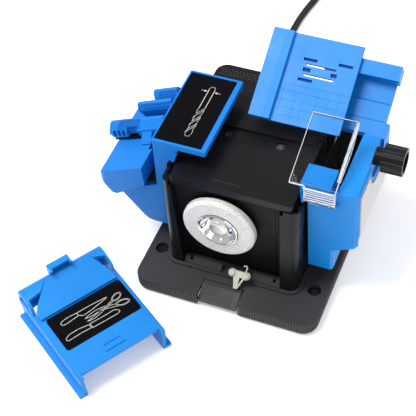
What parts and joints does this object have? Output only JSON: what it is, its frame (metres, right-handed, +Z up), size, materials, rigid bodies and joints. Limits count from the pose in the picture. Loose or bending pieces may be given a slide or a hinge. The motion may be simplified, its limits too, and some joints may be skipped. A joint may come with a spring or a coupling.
{
  "type": "drill bit sharpener",
  "caption": "Bench sharpener with a front grinding wheel, clip-on drill and chisel heads, a clear eye shield and a loose knife guide.",
  "frame": {"origin": "on the table under the middle of the base plate, at the level the rubber feet rest on", "axes": "+X to the right of the machine (chisel head side), +Y from the wheel to the back where the cord leaves, +Z up"},
  "size_m": [0.224, 0.524, 0.134],
  "materials": {
    "black_plastic": "moulded, lightly textured satin",
    "dark_plastic": "matt moulded",
    "blue_plastic": "satin moulded",
    "black_label": "gloss film",
    "cream_nylon": "translucent natural nylon",
    "clear_plastic": "clear polished",
    "rubber": "matt",
    "abrasive": "coarse diamond-plated grit, granular",
    "honing_grit": "fine abrasive, matt",
    "chrome": "polished",
    "steel": "bright drawn",
    "motor_steel": "zinc plated",
    "copper": "varnished windings",
    "black_screw": "black oxide",
    "brass_pin": "nickel-brass, satin"
  },
  "bodies": {
    "machine": {"base_plate": "black_plastic", "rubber_foot_1": "rubber", "rubber_foot_2": "rubber", "rubber_foot_3": "rubber", "rubber_foot_4": "rubber", "body_shell": "black_plastic", "motor_bulkhead": "dark_plastic", "top_lid": "black_plastic", "lid_screw_1": "black_screw", "lid_screw_2": "black_screw", "motor_can": "motor_steel", "motor_end_bell": "dark_plastic", "stator_core": "motor_steel", "front_bearing": "chrome", "rear_bearing": "chrome", "brush_left": "dark_plastic", "brush_right": "dark_plastic", "motor_cradle": "dark_plastic", "pedal_pin": "steel", "pedal_spring": "steel", "strain_relief": "rubber", "power_cord": "rubber", "cord_tail": "rubber", "cord_coil": "rubber", "plug_body": "rubber", "plug_pin_front": "brass_pin", "plug_pin_back": "brass_pin"},
    "rotor": {"grinding_wheel": "abrasive", "hub_cup": "chrome", "hub_nut": "chrome", "wheel_flange": "steel", "rotor_shaft": "steel", "rotor_core": "copper", "commutator": "copper", "cooling_fan": "dark_plastic"},
    "pedal": {"release_pedal": "black_plastic", "latch_tee": "cream_nylon", "latch_screw_left": "steel", "latch_screw_right": "steel"},
    "drill_head": {"drill_housing": "blue_plastic", "drill_bed": "blue_plastic", "drill_jaw_fixed": "blue_plastic", "drill_cap": "blue_plastic", "drill_label": "black_label"},
    "drill_jaw": {"drill_jaw_sliding": "blue_plastic"},
    "drill_knob": {"drill_clamp_knob": "black_plastic", "drill_clamp_screw": "steel"},
    "chisel_head": {"chisel_housing": "blue_plastic", "chisel_ramp": "blue_plastic", "honing_pad": "honing_grit", "shield_pin": "steel"},
    "shield": {"clear_shield": "clear_plastic"},
    "tray": {"chisel_tray": "blue_plastic"},
    "side_clamp": {"side_knob": "black_plastic", "side_knob_screw": "steel"},
    "knife_guide": {"knife_guide_body": "blue_plastic", "knife_guide_ramp": "blue_plastic", "knife_label": "black_label"}
  },
  "joints": [
    {"name": "wheel_spin", "type": "hinge", "parent": "machine", "child": "rotor", "pos_m": [-0.0087, 0, 0.0552], "axis": [0, 1, 0], "continuous": true},
    {"name": "pedal_press", "type": "hinge", "parent": "machine", "child": "pedal", "pos_m": [0, -0.056, 0.0061], "axis": [1, 0, 0], "range_deg": [0, 5], "stiffness_Nm_per_rad": 0.06, "springref_deg": -11.46},
    {"name": "drill_head_lift", "type": "slide", "parent": "machine", "child": "drill_head", "axis": [0, 0, 1], "range_m": [0, 0.12]},
    {"name": "drill_jaw_slide", "type": "slide", "parent": "drill_head", "child": "drill_jaw", "axis": [0, 1, 0], "range_m": [-0.005, 0.003]},
    {"name": "drill_knob_turn", "type": "hinge", "parent": "drill_head", "child": "drill_knob", "pos_m": [-0.069, 0.035, 0.0705], "axis": [0, 1, 0], "range_deg": [-600, 360]},
    {"name": "chisel_head_lift", "type": "slide", "parent": "machine", "child": "chisel_head", "axis": [0, 0, 1], "range_m": [0, 0.12]},
    {"name": "shield_tilt", "type": "hinge", "parent": "chisel_head", "child": "shield", "pos_m": [0.0556, -0.0414, 0.0911], "axis": [1, 0, 0], "range_deg": [0, 70]},
    {"name": "tray_slide", "type": "slide", "parent": "chisel_head", "child": "tray", "axis": [1, 0, 0], "range_m": [-0.012, 0.012]},
    {"name": "side_knob_turn", "type": "hinge", "parent": "chisel_head", "child": "side_clamp", "pos_m": [0.09, 0.001, 0.098], "axis": [1, 0, 0], "range_deg": [-360, 360]},
    {"name": "knife_guide_lift", "type": "slide", "parent": "machine", "child": "knife_guide", "axis": [0, 0, 1], "range_m": [0, 0.15]}
  ],
  "couplings": [
    {"joint": "drill_knob_turn", "follows": "drill_jaw_slide", "rad_per_m": 2094.4}
  ]
}
